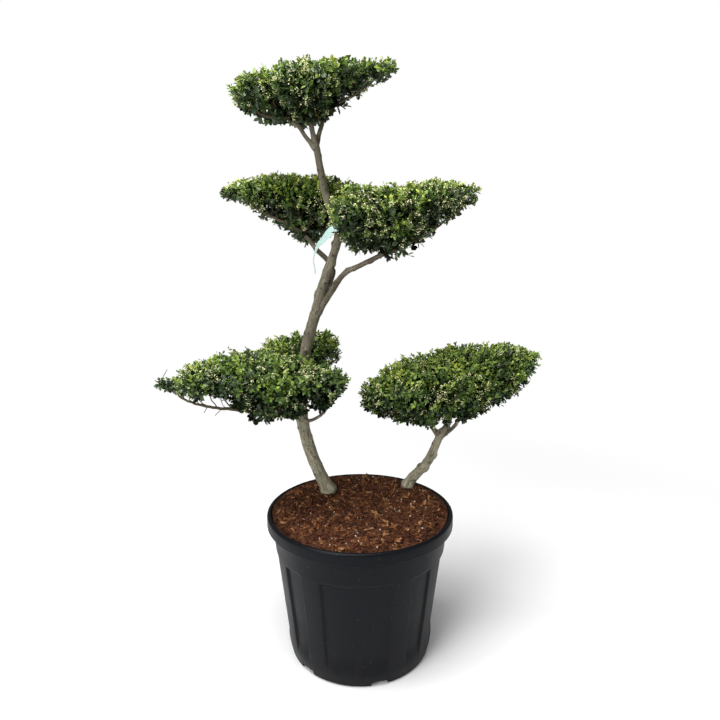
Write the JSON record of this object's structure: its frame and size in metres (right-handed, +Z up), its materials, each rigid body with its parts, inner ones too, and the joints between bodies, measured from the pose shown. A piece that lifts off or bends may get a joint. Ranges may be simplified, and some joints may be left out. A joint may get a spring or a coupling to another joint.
{
  "type": "potted japanese holly cloud topiary",
  "caption": "Small-leaved evergreen shrub clipped into flat leafy clouds on two leaning stems, standing in a round tapered plastic nursery pot filled with bark.",
  "frame": {"origin": "centre of the pot's flat underside, on the ground that the pot stands on", "axes": "+Z up along the pot's axis, front of the plant to -Y, the long low cloud to -X and the single right-hand cloud to +X"},
  "size_m": [1.0061, 0.5205, 1.5054],
  "materials": {
    "pot_plastic": "black blow-moulded plastic, satin, a little dusty",
    "bark_mulch": "loose brown bark and coir with white specks",
    "grey_bark": "thin grey-olive bark with small knots",
    "brown_bark": "smooth young brown bark",
    "leaves": "glossy small leaves, yellow-green at the tips, dark inside",
    "strip_plastic": "thin pale mint plastic, blank"
  },
  "bodies": {
    "root": {"pot": "pot_plastic", "soil": "bark_mulch", "main_stem": "grey_bark", "side_stem": "grey_bark", "bough_middle_right": "brown_bark", "bough_middle_left": "brown_bark", "bough_lower_left": "brown_bark", "bough_lower_front": "brown_bark", "bough_lower_back": "brown_bark", "bough_lower_right": "brown_bark", "bough_top_centre": "brown_bark", "bough_top_left": "brown_bark", "bough_top_right": "brown_bark", "bough_right_middle": "brown_bark", "bough_right_left": "brown_bark", "bough_right_right": "brown_bark", "cloud_top": "leaves", "cloud_middle_left": "leaves", "cloud_middle_right": "leaves", "cloud_lower_left": "leaves", "cloud_lower_front": "leaves", "cloud_lower_back": "leaves", "cloud_right": "leaves", "label_strip": "strip_plastic"}
  },
  "joints": []
}
